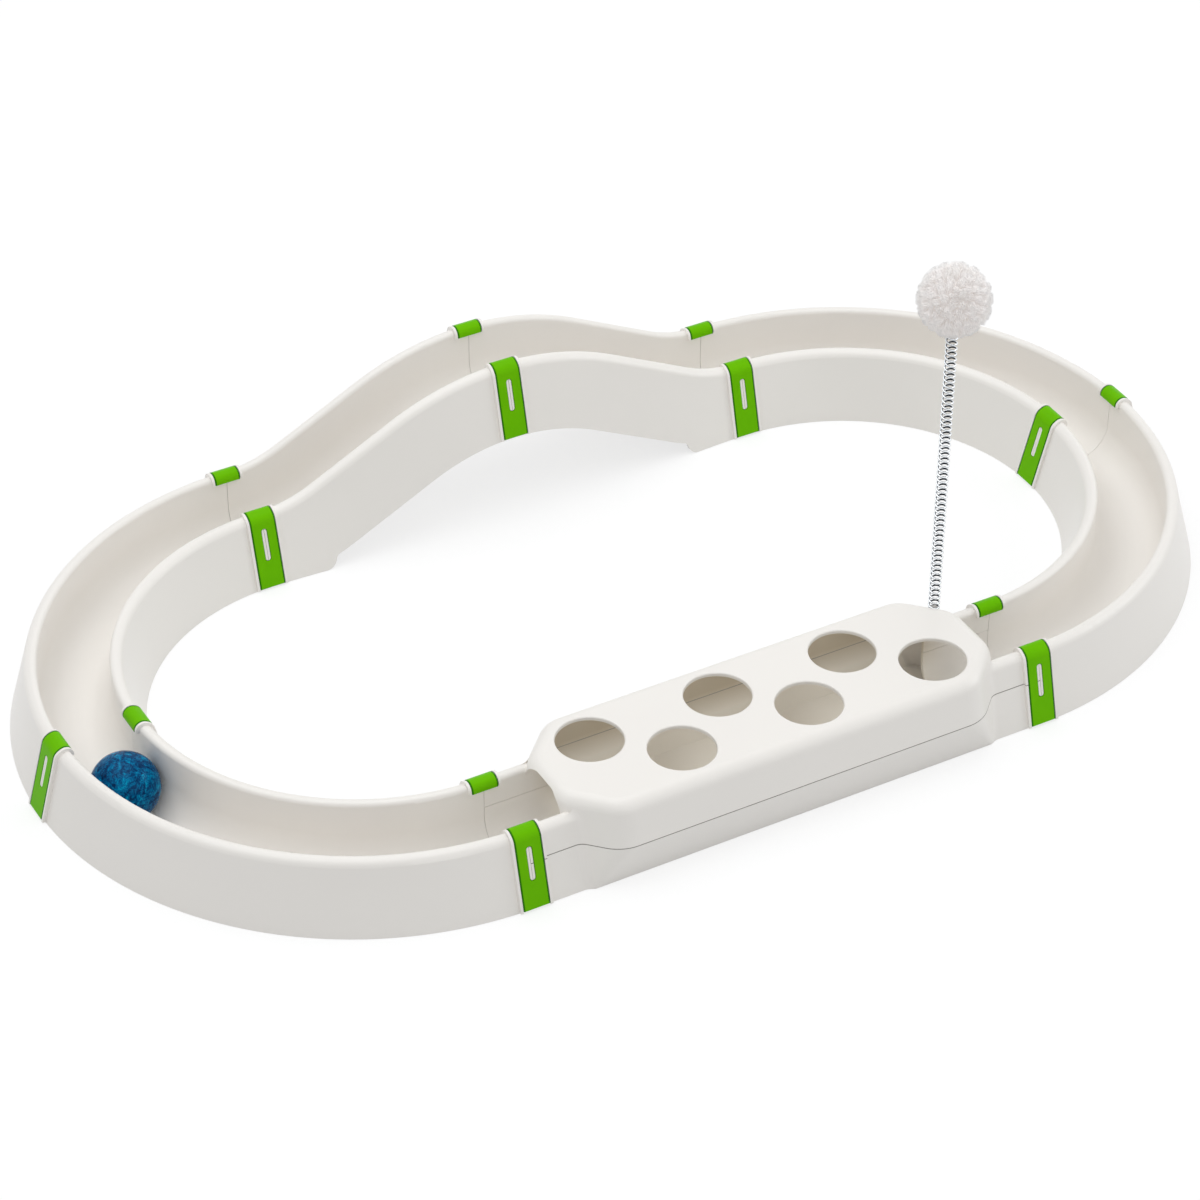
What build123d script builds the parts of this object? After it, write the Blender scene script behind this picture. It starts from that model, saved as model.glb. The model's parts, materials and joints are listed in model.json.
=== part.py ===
"""Cat ball track: four bends, two hump ramps and a tunnel clipped into a loop, a ball and a spring teaser.

Millimetres, +Z up, +X along the tunnel, the hill at the back.
The origin is under the middle of the whole track.
"""

from build123d import *

import math
import os

# The loop: every joint lies on a grid whose step is the radius of the bends
BEND_RADIUS = 170.0
JOINT_GAP = 0.2

# The ball and the room it runs in
BALL_DIAMETER = 41.0
BALL_WALL = 2.0
BALL_SEAM_TILT = 28.0
BALL_REST_ANGLE = 10.0
BALL_SIDE_GAP = 0.5
BALL_FLOOR_GAP = 0.3
RIM_OVER_BALL = 3.1
MOUTH_OVER_BALL = 8.2

# The moulded track section
WALL = 2.2
FLOOR_LIFT = 1.0
FLOOR_FLAT = 3.0
SHOULDER_WIDTH = 7.4
SHOULDER_DROP = 3.4
SKIRT_SPREAD = 11.6
CREST_INNER_ROUND = 0.8
KNEE_INNER_ROUND = 2.8

# Joint clips, the ridges that frame them and the lugs that fill their slots
CLIP_LENGTH = 16.4
CLIP_THICKNESS = 1.5
CLIP_SLACK = 0.05
CLIP_FOOT = 1.0
CLIP_HOOK = 1.0
CLIP_EDGE_ROUND = 0.4
SLOT_WIDTH = 4.0
SLOT_LENGTH = 21.5
SLOT_BELOW_KNEE = 6.0
LUG_GAP = 0.4
LUG_RECESS = 0.3
RIDGE_GAP = 0.4
RIDGE_WIDTH = 1.6
RIDGE_FOOT = 0.3

# Hump ramps
HILL_RISE = 55.0
RAMP_SLOPE = 26.6
FOOT_LENGTH = 37.0
FOOT_SWEEP = 14.0

# Tunnel
TUNNEL_HALF_WIDTH = 50.0
TUNNEL_END = 21.5
TUNNEL_CORNER_CUT = 28.5
TUNNEL_CORNER_ROUND = 24.0
TUNNEL_FOOT_CUT = 6.5
TUNNEL_FOOT_ROUND = 5.0
TUNNEL_PARTING = 28.0
TUNNEL_BEAM = 3.3
TRAY_LEAN = 8.0
COVER_LEAN = 5.4
COVER_TOP_ROUND = 8.5
COVER_TOP_WALL = 2.4
COLLAR_BLEND = 8.0
BLEND_SETBACK = 0.3
BRIDGE_ROUND = 22.0
MOUTH_ROUND = 14.0
GUIDE_LENGTH = 24.5
HOLE_UNDER_BALL = 1.2
HOLE_STEP = 42.0
HOLE_ROW = 15.9
HOLE_EDGE_ROUND = 0.8
SEAM_GAP = 0.3
LIP_HEIGHT = 1.4
LIP_ROOT = 2.0
LIP_WIDTH = 1.0
LIP_GAP = 0.15

# Teaser: a spring on a foot that turns in a post of the tray, and a pompom on its top
POST_DIAMETER = 14.0
POST_BELOW_SEAM = 0.5
POST_FROM_JOINT = 24.0
POST_FROM_CENTRELINE = 44.5
POST_RIB = 3.0
FOOT_BORE = 7.0
FOOT_BORE_DEPTH = 20.0
FOOT_FIT = 0.08
FOOT_END_GAP = 0.5
FLANGE_DIAMETER = 11.0
FLANGE_THICKNESS = 2.0
FLANGE_GAP = 0.2
SPIGOT_LENGTH = 9.0
COIL_DIAMETER = 6.2
WIRE_DIAMETER = 1.2
COIL_PITCH = 3.69
COIL_TURNS = 60
COIL_FIT = 0.3
POMPOM_DIAMETER = 44.0
POMPOM_OVER_SPRING = 2.0
CORE_DIAMETER = 16.0
CORE_THICKNESS = 3.0


def ramp_arc():
    """Radius of the two equal arcs that lift a ramp's foot line to the hill top at the given slope."""
    slope = math.radians(RAMP_SLOPE)
    sweep = 2 * math.sin(slope) - 2 * (1 - math.cos(slope)) / math.tan(slope)
    return (BEND_RADIUS - HILL_RISE / math.tan(slope)) / sweep


# Heights and half widths that follow from the sizes above
CHANNEL_HALF = BALL_DIAMETER / 2 + BALL_SIDE_GAP
FLOOR_TOP = FLOOR_LIFT + WALL
BALL_HEIGHT = FLOOR_TOP + BALL_FLOOR_GAP + BALL_DIAMETER / 2
BALL_TOP = BALL_HEIGHT + BALL_DIAMETER / 2
CREST_HEIGHT = BALL_TOP + RIM_OVER_BALL
KNEE_HALF = CHANNEL_HALF + SHOULDER_WIDTH
KNEE_HEIGHT = CREST_HEIGHT - SHOULDER_DROP
BASE_HALF = KNEE_HALF + SKIRT_SPREAD
CREST_ROUND = WALL + CREST_INNER_ROUND
KNEE_ROUND = WALL + KNEE_INNER_ROUND
FLOOR_ROUND = CHANNEL_HALF - FLOOR_FLAT / 2
SHOULDER_SLOPE = math.atan2(SHOULDER_DROP, SHOULDER_WIDTH)
CREST_TANGENT = CREST_ROUND * math.tan(math.pi / 4 + SHOULDER_SLOPE / 2)
CREST_EDGE = CHANNEL_HALF + CREST_TANGENT * math.cos(SHOULDER_SLOPE)
CLIP_HALF = CLIP_LENGTH / 2
RAMP_ARC = ramp_arc()
TIGHTEST = min(BEND_RADIUS - BASE_HALF, RAMP_ARC - CREST_HEIGHT)
CLIP_GAP = CLIP_SLACK + CLIP_HALF**2 / (2 * TIGHTEST)
CLIP_FACE = CLIP_GAP + CLIP_THICKNESS
MOUTH_TOP = BALL_TOP + MOUTH_OVER_BALL
TUNNEL_TOP = MOUTH_TOP + TUNNEL_BEAM
TUNNEL_HALF_LENGTH = BEND_RADIUS - TUNNEL_END
HOLE_DIAMETER = BALL_DIAMETER - HOLE_UNDER_BALL
SKIRT_LEAN = math.atan2(SKIRT_SPREAD, KNEE_HEIGHT)
REACH = BASE_HALF - RIDGE_FOOT * math.tan(SKIRT_LEAN) + CLIP_FACE * math.cos(SKIRT_LEAN)
LOOP_Y = (TUNNEL_HALF_WIDTH - REACH) / 2
SPIGOT_RADIUS = COIL_DIAMETER / 2 - WIRE_DIAMETER / 2 - COIL_FIT
POST_TOP = TUNNEL_PARTING - POST_BELOW_SEAM
FLANGE_UNDERSIDE = POST_TOP + FLANGE_GAP
SPRING_START = FLANGE_UNDERSIDE + FLANGE_THICKNESS + COIL_FIT + WIRE_DIAMETER
SPRING_END = SPRING_START + COIL_PITCH * COIL_TURNS
CORE_UNDERSIDE = SPRING_END + WIRE_DIAMETER + COIL_FIT
POMPOM_CENTRE = CORE_UNDERSIDE + POMPOM_OVER_SPRING

# Outline of the right half of the section, from the foot of the skirt to the floor of the channel
HALF_SKIN = [
    (BASE_HALF, 0.0),
    (KNEE_HALF, KNEE_HEIGHT),
    (CHANNEL_HALF, CREST_HEIGHT),
    (CHANNEL_HALF, FLOOR_TOP),
]
HALF_ROUNDS = [KNEE_ROUND, CREST_ROUND, FLOOR_ROUND]


def point_at_height(low, high, height):
    """The point at a height on the line through two (across, up) points."""
    share = (height - low[1]) / (high[1] - low[1])
    return (low[0] + share * (high[0] - low[0]), height)


def offset_outline(corners, rounds, distance):
    """The corners and rounds of an outline moved to its right by a distance."""
    points = [Vector(across, up) for across, up in corners]
    runs = [(b - a).normalized() for a, b in zip(points, points[1:])]
    sides = [Vector(run.Y, -run.X) * distance for run in runs]
    moved = [points[0] + sides[0]]
    moved_rounds = []
    for before, after, side, corner, radius in zip(runs, runs[1:], sides, points[1:], rounds):
        turn = before.X * after.Y - before.Y * after.X
        signed = math.copysign(1, turn) * distance
        half_turn = math.radians(before.get_angle(after)) / 2
        moved.append(corner + side + before * signed * math.tan(half_turn))
        moved_rounds.append(radius + signed)
    moved.append(points[-1] + sides[-1])
    return [(point.X, point.Y) for point in moved], moved_rounds


def section_wire(corners, rounds):
    """The rounded outline as a curve in the XZ plane."""
    return FilletPolyline(*[(across, 0, up) for across, up in corners], radius=rounds)


def band(corners, rounds, inner, outer):
    """The strip between two offsets of an outline, as a face in the XZ plane."""
    inside = section_wire(*offset_outline(corners, rounds, inner))
    outside = section_wire(*offset_outline(corners, rounds, outer))
    caps = [Line(inside @ 0, outside @ 0), Line(inside @ 1, outside @ 1)]
    return make_face([*inside.edges(), *outside.edges(), *caps])


def mirrored(points):
    """Points across the middle of the section, in the opposite order."""
    return [(-across, up) for across, up in reversed(points)]


def track_skins():
    """Outlines of the upper and the under side of the moulded wall, from ground to ground."""
    skin = HALF_SKIN + mirrored(HALF_SKIN)
    rounds = HALF_ROUNDS + HALF_ROUNDS[::-1]
    under, under_rounds = offset_outline(skin, rounds, -WALL)
    under[0] = point_at_height(under[0], under[1], 0.0)
    under[-1] = point_at_height(under[-1], under[-2], 0.0)
    return section_wire(skin, rounds), section_wire(under, under_rounds)


def track_section():
    """The moulded wall of an open track, with its skirts standing on the ground."""
    outside, inside = track_skins()
    caps = [Line(inside @ 0, outside @ 0), Line(inside @ 1, outside @ 1)]
    return make_face([*inside.edges(), *outside.edges(), *caps])


def closed_section(corners, rounds):
    """A rounded outline closed by a straight line, as a face in the XZ plane."""
    outline = section_wire(corners, rounds)
    return make_face([*outline.edges(), Line(outline @ 1, outline @ 0)])


def rim_outline(foot):
    """Outline over one rim: from a height on the skirt, over the shoulder and into the channel."""
    start = point_at_height(HALF_SKIN[0], HALF_SKIN[1], foot)
    end = (CHANNEL_HALF, CREST_HEIGHT - CREST_TANGENT - CLIP_HOOK)
    return [start, HALF_SKIN[1], HALF_SKIN[2], end], [KNEE_ROUND, CREST_ROUND]


def slot_plane():
    """Plane on the right skirt at the middle of a clip's slot, its X axis down the skirt."""
    down = Vector(SKIRT_SPREAD, 0, -KNEE_HEIGHT).normalized()
    outward = Vector(KNEE_HEIGHT, 0, SKIRT_SPREAD).normalized()
    middle = Vector(KNEE_HALF, 0, KNEE_HEIGHT) + down * (SLOT_BELOW_KNEE + SLOT_LENGTH / 2)
    return Plane(origin=middle, x_dir=down, z_dir=outward)


def clip_shape():
    """One joint clip on the right rim, straight along Y, with its slot."""
    strip = band(*rim_outline(CLIP_FOOT), CLIP_GAP, CLIP_FACE)
    clip = extrude(strip, amount=CLIP_HALF, both=True)
    slot = slot_plane() * SlotOverall(SLOT_LENGTH, SLOT_WIDTH)
    clip -= extrude(slot, amount=2 * CLIP_FACE)
    ends = [edge for edge in clip.edges() if abs(abs(edge.center().Y) - CLIP_HALF) < 1e-6]
    outer = section_wire(*offset_outline(*rim_outline(CLIP_FOOT), CLIP_FACE))
    rounded = [edge for edge in ends if outer.distance_to(Vector(edge.center().X, 0, edge.center().Z)) < 0.05]
    return fillet(rounded, CLIP_EDGE_ROUND)


def end_features():
    """Ridges and half lugs of a track end that starts at Y 0 and runs towards +Y."""
    ridge_start = CLIP_HALF + RIDGE_GAP
    strip = band(*rim_outline(RIDGE_FOOT), -WALL / 2, CLIP_FACE)
    ridge = extrude(Pos(0, ridge_start, 0) * strip, amount=RIDGE_WIDTH, dir=(0, 1, 0))
    plane = slot_plane().offset(-WALL / 2)
    outline = plane * SlotOverall(SLOT_LENGTH - 2 * LUG_GAP, SLOT_WIDTH - 2 * LUG_GAP)
    lug = extrude(outline, amount=WALL / 2 + CLIP_FACE - LUG_RECESS)
    this_side = Pos(0, JOINT_GAP / 2 + BASE_HALF, 0) * Box(4 * BASE_HALF, 2 * BASE_HALF, 4 * CREST_HEIGHT)
    right = [ridge, lug & this_side]
    return right + [mirror(feature, about=Plane.YZ) for feature in right]


def bend_shape():
    """A quarter bend about the Z axis, from the X axis round to the Y axis."""
    trim = math.degrees(JOINT_GAP / 2 / BEND_RADIUS)
    section = Rot(0, 0, trim) * Pos(BEND_RADIUS, 0, 0) * track_section()
    bend = revolve(section, Axis.Z, 90 - 2 * trim)
    ends = [Pos(BEND_RADIUS, 0, 0), Pos(0, BEND_RADIUS, 0) * Rot(0, 0, -90)]
    return bend + [end * feature for end in ends for feature in end_features()]


def ramp_foot():
    """Skirts that carry the low end of a ramp down to the ground, with a swept-up heel."""
    strips = Sketch()
    reach = FOOT_LENGTH + FOOT_SWEEP
    low = point_at_height(HALF_SKIN[0], HALF_SKIN[1], -reach)
    inset = WALL / math.cos(SKIRT_LEAN)
    for side in (1, -1):
        corners = [HALF_SKIN[0], low, (low[0] - inset, low[1]), (BASE_HALF - inset, 0.0)]
        strips += make_face(Polyline(*[(side * across, 0, up) for across, up in corners], close=True))
    angle = math.degrees(math.asin(reach / RAMP_ARC))
    skirts = revolve(strips, Axis((0, 0, RAMP_ARC), (1, 0, 0)), angle)
    heel = RAMP_ARC - math.sqrt(RAMP_ARC**2 - reach**2)
    start = Vector(0, FOOT_LENGTH, 0)
    end = Vector(0, reach, heel)
    middle = (start + end) / 2
    lower = TangentArc(start, middle, tangent=(0, 1, 0))
    upper = TangentArc(end, middle, tangent=(0, -1, 0))
    back = Polyline(start, (0, 0, 0), (0, 0, heel), end)
    side_view = make_face([*lower.edges(), *upper.edges(), *back.edges()])
    return skirts & extrude(side_view, amount=2 * BASE_HALF, both=True)


def ramp_shape():
    """A hump ramp from the ground at Y 0 to the level top of the hill, along +Y."""
    section = track_section()
    low_axis = Axis((0, 0, RAMP_ARC), (1, 0, 0))
    low = revolve(section, low_axis, RAMP_SLOPE)
    top_place = Pos(0, BEND_RADIUS, HILL_RISE)
    top_axis = Axis((0, BEND_RADIUS, HILL_RISE - RAMP_ARC), (1, 0, 0))
    high = revolve(top_place * section, top_axis, RAMP_SLOPE)
    tilted = section.rotate(low_axis, RAMP_SLOPE)
    slope = math.radians(RAMP_SLOPE)
    run = BEND_RADIUS / math.cos(slope) - 2 * RAMP_ARC * math.tan(slope)
    incline = extrude(tilted, amount=run, dir=(0, math.cos(slope), math.sin(slope)))
    features = end_features()
    top_features = [top_place * Rot(0, 0, 180) * feature for feature in features]
    ramp = low + incline + high + ramp_foot()
    height = 4 * (HILL_RISE + CREST_HEIGHT)
    trim = Pos(0, BEND_RADIUS / 2, 0) * Box(4 * BASE_HALF, BEND_RADIUS - JOINT_GAP, height)
    return (ramp & trim) + features + top_features


def tunnel_plan(height, depth):
    """Plan of the tunnel's box at a height, at a depth under its skin."""
    below = max(1 - height / TUNNEL_PARTING, 0.0)
    above = max((height - TUNNEL_PARTING) / (TUNNEL_TOP - TUNNEL_PARTING), 0.0)
    inset = COVER_LEAN * above + depth
    length = TUNNEL_HALF_LENGTH - TRAY_LEAN * below - inset
    width = TUNNEL_HALF_WIDTH - TRAY_LEAN * below - inset
    cut = TUNNEL_CORNER_CUT - (TUNNEL_CORNER_CUT - TUNNEL_FOOT_CUT) * below - inset * (2 - math.sqrt(2))
    radius = TUNNEL_CORNER_ROUND - (TUNNEL_CORNER_ROUND - TUNNEL_FOOT_ROUND) * below - inset
    quarter = [(length, width - cut), (length - cut, width)]
    ring = quarter + mirrored(quarter)
    ring += [(-along, -across) for along, across in ring]
    outline = FilletPolyline(*ring, radius=radius, close=True)
    return Pos(0, 0, height) * make_face(outline.edges())


def lean_block(heights, depth):
    """Solid through the plans of the box at some heights, at a depth under its skin."""
    plans = [tunnel_plan(height, depth) for height in heights]
    parts = [loft([low, high], ruled=True) for low, high in zip(plans, plans[1:])]
    return parts[0] + parts[1:]


def rounded_top(block, radius):
    """The block with its top edges rounded."""
    top = block.faces().sort_by(Axis.Z)[-1]
    return fillet(top.edges(), radius)


def along_tunnel(face, start, length):
    """A section in the XZ plane drawn out along X."""
    return extrude(Pos(start, 0, 0) * Rot(0, 0, 90) * face, amount=length, dir=(1, 0, 0))


def tunnel_mouth():
    """The opening through both ends of the box: the channel with an arched top."""
    corners = [
        (CHANNEL_HALF, FLOOR_TOP),
        (CHANNEL_HALF, MOUTH_TOP),
        (-CHANNEL_HALF, MOUTH_TOP),
        (-CHANNEL_HALF, FLOOR_TOP),
    ]
    rounds = [FLOOR_ROUND, MOUTH_ROUND, MOUTH_ROUND, FLOOR_ROUND]
    outline = FilletPolyline(*[(across, 0, up) for across, up in corners], radius=rounds, close=True)
    return along_tunnel(make_face(outline.edges()), -BEND_RADIUS, 2 * BEND_RADIUS)


def mouth_guides():
    """The channel's two walls carried a little way into the room behind each mouth."""
    start = TUNNEL_HALF_LENGTH - GUIDE_LENGTH
    tub = along_tunnel(track_section(), start, GUIDE_LENGTH)
    tub &= Box(2 * BEND_RADIUS, 2 * (CHANNEL_HALF + WALL), 4 * TUNNEL_TOP)
    return tub + mirror(tub, about=Plane.YZ)


def paw_holes():
    """Six round holes in two staggered rows, as one cutter."""
    places = [((index - 2.5) * HOLE_STEP, HOLE_ROW * (1 - 2 * (index % 2))) for index in range(6)]
    height = TUNNEL_TOP - TUNNEL_PARTING
    cutter = Cylinder(HOLE_DIAMETER / 2, height)
    return [Pos(along, across, TUNNEL_TOP) * cutter for along, across in places]


def is_hole_rim(edge):
    """True for the upper edge of a paw hole."""
    on_top = abs(edge.center().Z - TUNNEL_TOP) < 1e-6
    return on_top and edge.geom_type == GeomType.CIRCLE and abs(edge.radius - HOLE_DIAMETER / 2) < 1e-6


def blended(block, section):
    """A block with a filled length of track through it, the creases between them rounded."""
    length = BEND_RADIUS - JOINT_GAP / 2
    track = along_tunnel(section, -length, 2 * length)
    both = block + track
    creases = []
    for edge in both.edges():
        middle = edge @ 0.5
        inside = block.distance_to(middle) < 1e-3 and track.distance_to(middle) < 1e-3
        if inside and abs(middle.Z - TUNNEL_PARTING) > 0.1 and middle.Z > 0.1:
            creases.append(edge)
    return fillet(creases, COLLAR_BLEND)


def outside_cutters(block):
    """The open channel and the hollow under the track, as far as the box's ends."""
    outside, inside = track_skins()
    faces = [make_face([*skin.edges(), Line(skin @ 1, skin @ 0)]) for skin in (outside, inside)]
    filled, hollow = [along_tunnel(face, -BEND_RADIUS, 2 * BEND_RADIUS) for face in faces]
    rims = Box(2 * BEND_RADIUS, 2 * (CREST_EDGE + BLEND_SETBACK), 4 * TUNNEL_TOP)
    return [rims - filled - block, hollow - block]


def both_ends(shell):
    """The shell's left half joined to the same half turned about."""
    size = 4 * BEND_RADIUS
    half = shell & Box(size, size, size, align=(Align.MAX, Align.CENTER, Align.CENTER))
    return half + Rot(0, 0, 180) * half


def tunnel_shells():
    """The tray and the cover as moulded: box, mouths, holes and a length of track at each end."""
    low = lean_block([0.0, TUNNEL_PARTING], 0.0)
    high = rounded_top(lean_block([TUNNEL_PARTING, TUNNEL_TOP], 0.0), COVER_TOP_ROUND)
    skirt = [HALF_SKIN[0], point_at_height(HALF_SKIN[0], HALF_SKIN[1], TUNNEL_PARTING)]
    rim = [skirt[1], *HALF_SKIN[1:3]]
    rim_rounds = [KNEE_ROUND, BRIDGE_ROUND, BRIDGE_ROUND, KNEE_ROUND]
    skirts = [(across, 0, up) for across, up in skirt + mirrored(skirt)]
    tray = blended(low, make_face(Polyline(*skirts, close=True)))
    cover = blended(high, closed_section(rim + mirrored(rim), rim_rounds))
    room = lean_block([FLOOR_TOP, TUNNEL_PARTING, TUNNEL_TOP - COVER_TOP_WALL], WALL)
    room = rounded_top(room, COVER_TOP_ROUND - COVER_TOP_WALL) - mouth_guides()
    recess = lean_block([0.0, FLOOR_LIFT], WALL)
    cutters = [room, recess, tunnel_mouth(), *outside_cutters(low + high)]
    cover = both_ends(cover - cutters) - paw_holes()
    rims = [edge for edge in cover.edges() if is_hole_rim(edge)]
    return both_ends(tray - cutters), fillet(rims, HOLE_EDGE_ROUND)


def lip_ring(gap):
    """The tray's locating lip inside the wall at the parting, with a gap round it, clear of both mouths."""
    outer = tunnel_plan(TUNNEL_PARTING, WALL - LIP_WIDTH - gap)
    inner = tunnel_plan(TUNNEL_PARTING, WALL + gap)
    root = Pos(0, 0, -LIP_ROOT) * (outer - inner)
    ring = extrude(root, amount=LIP_ROOT + LIP_HEIGHT, dir=(0, 0, 1))
    passage = Box(4 * BEND_RADIUS, 2 * (CHANNEL_HALF + WALL - gap), 4 * TUNNEL_TOP)
    return ring - passage


def spring_post():
    """The teaser's socket: a round post beside the tunnel's end, tied to the skirt by a rib, and its bore."""
    up = (Align.CENTER, Align.CENTER, Align.MIN)
    post = Cylinder(POST_DIAMETER / 2, POST_TOP, align=up)
    skirt = point_at_height(HALF_SKIN[0], HALF_SKIN[1], POST_TOP)[0] - WALL / 2
    rib_length = POST_FROM_CENTRELINE - skirt
    rib = Box(POST_RIB, rib_length, POST_TOP - POST_RIB, align=(Align.CENTER, Align.MAX, Align.MIN))
    bore = Pos(0, 0, POST_TOP - FOOT_BORE_DEPTH) * Cylinder(FOOT_BORE / 2, FOOT_BORE_DEPTH, align=up)
    place = Pos(BEND_RADIUS - POST_FROM_JOINT, POST_FROM_CENTRELINE, 0)
    return place * (post + rib), place * bore


def tunnel_halves():
    """The tray and the cover, parted on a level seam with a locating lip."""
    size = 4 * BEND_RADIUS
    below = Pos(0, 0, TUNNEL_PARTING - size / 2) * Box(size, size, size)
    above = Pos(0, 0, TUNNEL_PARTING + SEAM_GAP + size / 2) * Box(size, size, size)
    ends = [Pos(-BEND_RADIUS, 0, 0) * Rot(0, 0, -90), Pos(BEND_RADIUS, 0, 0) * Rot(0, 0, 90)]
    features = [end * feature for end in ends for feature in end_features()]
    tray, cover = tunnel_shells()
    post, bore = spring_post()
    tray = tray + [feature & below for feature in features] + post - bore + lip_ring(0.0)
    cover = (cover + features) & above
    return tray, cover - lip_ring(LIP_GAP)


def ball_halves():
    """The two moulded half shells of the ball, seam tilted, centred on the origin."""
    shell = Sphere(BALL_DIAMETER / 2) - Sphere(BALL_DIAMETER / 2 - BALL_WALL)
    up = (Align.CENTER, Align.CENTER, Align.MIN)
    half = shell & Box(2 * BALL_DIAMETER, 2 * BALL_DIAMETER, BALL_DIAMETER, align=up)
    return Rot(BALL_SEAM_TILT, 0, 0) * half, Rot(BALL_SEAM_TILT + 180, 0, 0) * half


def helix_place(angle):
    """Centre of the wire and its direction at an angle along the helix."""
    radius = COIL_DIAMETER / 2
    climb = COIL_PITCH / (2 * math.pi)
    place = Vector(radius * math.cos(angle), radius * math.sin(angle), climb * angle)
    way = Vector(-radius * math.sin(angle), radius * math.cos(angle), climb)
    return place, way.normalized()


def biarc(start, end):
    """Two tangent arcs between two points of the helix."""
    (first, first_way), (last, last_way) = start, end
    span = last - first
    both = first_way + last_way
    bend = 2 * (1 - first_way.dot(last_way))
    reach = (-span.dot(both) + math.sqrt(span.dot(both) ** 2 + bend * span.dot(span))) / bend
    near = first + first_way * reach
    far = last - last_way * reach
    middle = (near + far) / 2
    way = (far - near).normalized()
    return [Edge.make_tangent_arc(first, first_way, middle), Edge.make_tangent_arc(middle, way, last)]


def spring_shape():
    """The coiled wire about the Z axis, its first turn at Z 0, with straight cut ends."""
    places = [helix_place(step * math.pi) for step in range(2 * COIL_TURNS + 1)]
    turns = [arc for pair in zip(places, places[1:]) for arc in biarc(*pair)]
    (first, first_way), (last, last_way) = places[0], places[-1]
    tail = Edge.make_line(first - first_way * WIRE_DIAMETER, first)
    tip = Edge.make_line(last, last + last_way * WIRE_DIAMETER)
    path = Wire([tail, *turns, tip])
    profile = Plane(origin=path @ 0, z_dir=path % 0) * Circle(WIRE_DIAMETER / 2)
    print("spring: least gap between turns", round(coil_gap(turns), 2), "mm")
    return sweep(profile, path=path)


def coil_gap(turns):
    """Least distance between the wire of one turn and the next, on points."""
    points = [arc @ share for arc in turns for share in (0.0, 0.25, 0.5, 0.75)]
    per_turn = 16
    ahead = range(per_turn // 2, per_turn * 3 // 2 + 1)
    pairs = ((a, a + step) for a in range(len(points)) for step in ahead if a + step < len(points))
    return min((points[a] - points[b]).length for a, b in pairs) - WIRE_DIAMETER


def foot_shape():
    """The spring's foot about the Z axis: plug below, flange at Z 0 to its thickness, spigot above."""
    up = (Align.CENTER, Align.CENTER, Align.MIN)
    down = (Align.CENTER, Align.CENTER, Align.MAX)
    plug = Cylinder(FOOT_BORE / 2 - FOOT_FIT, FOOT_BORE_DEPTH + FLANGE_GAP - FOOT_END_GAP, align=down)
    flange = Cylinder(FLANGE_DIAMETER / 2, FLANGE_THICKNESS, align=up)
    spigot = Pos(0, 0, FLANGE_THICKNESS) * Cylinder(SPIGOT_RADIUS, SPIGOT_LENGTH, align=up)
    return plug + flange + spigot


def core_shape():
    """The pompom's core: a disc with a spigot that hangs into the top coils, its underside at Z 0."""
    disc = Cylinder(CORE_DIAMETER / 2, CORE_THICKNESS, align=(Align.CENTER, Align.CENTER, Align.MIN))
    spigot = Cylinder(SPIGOT_RADIUS, SPIGOT_LENGTH, align=(Align.CENTER, Align.CENTER, Align.MAX))
    return disc + spigot


def pompom_shape(core_height):
    """The pompom about its centre, hollowed for its core and for the top coils."""
    up = (Align.CENTER, Align.CENTER, Align.MIN)
    seat = Cylinder(CORE_DIAMETER / 2 + COIL_FIT, CORE_THICKNESS + 2 * COIL_FIT, align=up)
    bore = Cylinder(COIL_DIAMETER / 2 + WIRE_DIAMETER / 2 + 2 * COIL_FIT, POMPOM_DIAMETER, align=up)
    low = Pos(0, 0, core_height - POMPOM_DIAMETER) * bore
    return Sphere(POMPOM_DIAMETER / 2) - Pos(0, 0, core_height - COIL_FIT) * seat - low


# Joints of the loop: place on the grid and the way along the track
JOINTS = {
    "front_left": (-BEND_RADIUS, -BEND_RADIUS, 0.0, 90),
    "front_right": (BEND_RADIUS, -BEND_RADIUS, 0.0, 90),
    "right": (2 * BEND_RADIUS, 0.0, 0.0, 180),
    "back_right": (BEND_RADIUS, BEND_RADIUS, 0.0, 270),
    "hill_top": (0.0, BEND_RADIUS, HILL_RISE, 270),
    "back_left": (-BEND_RADIUS, BEND_RADIUS, 0.0, 270),
    "left": (-2 * BEND_RADIUS, 0.0, 0.0, 0),
}


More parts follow.
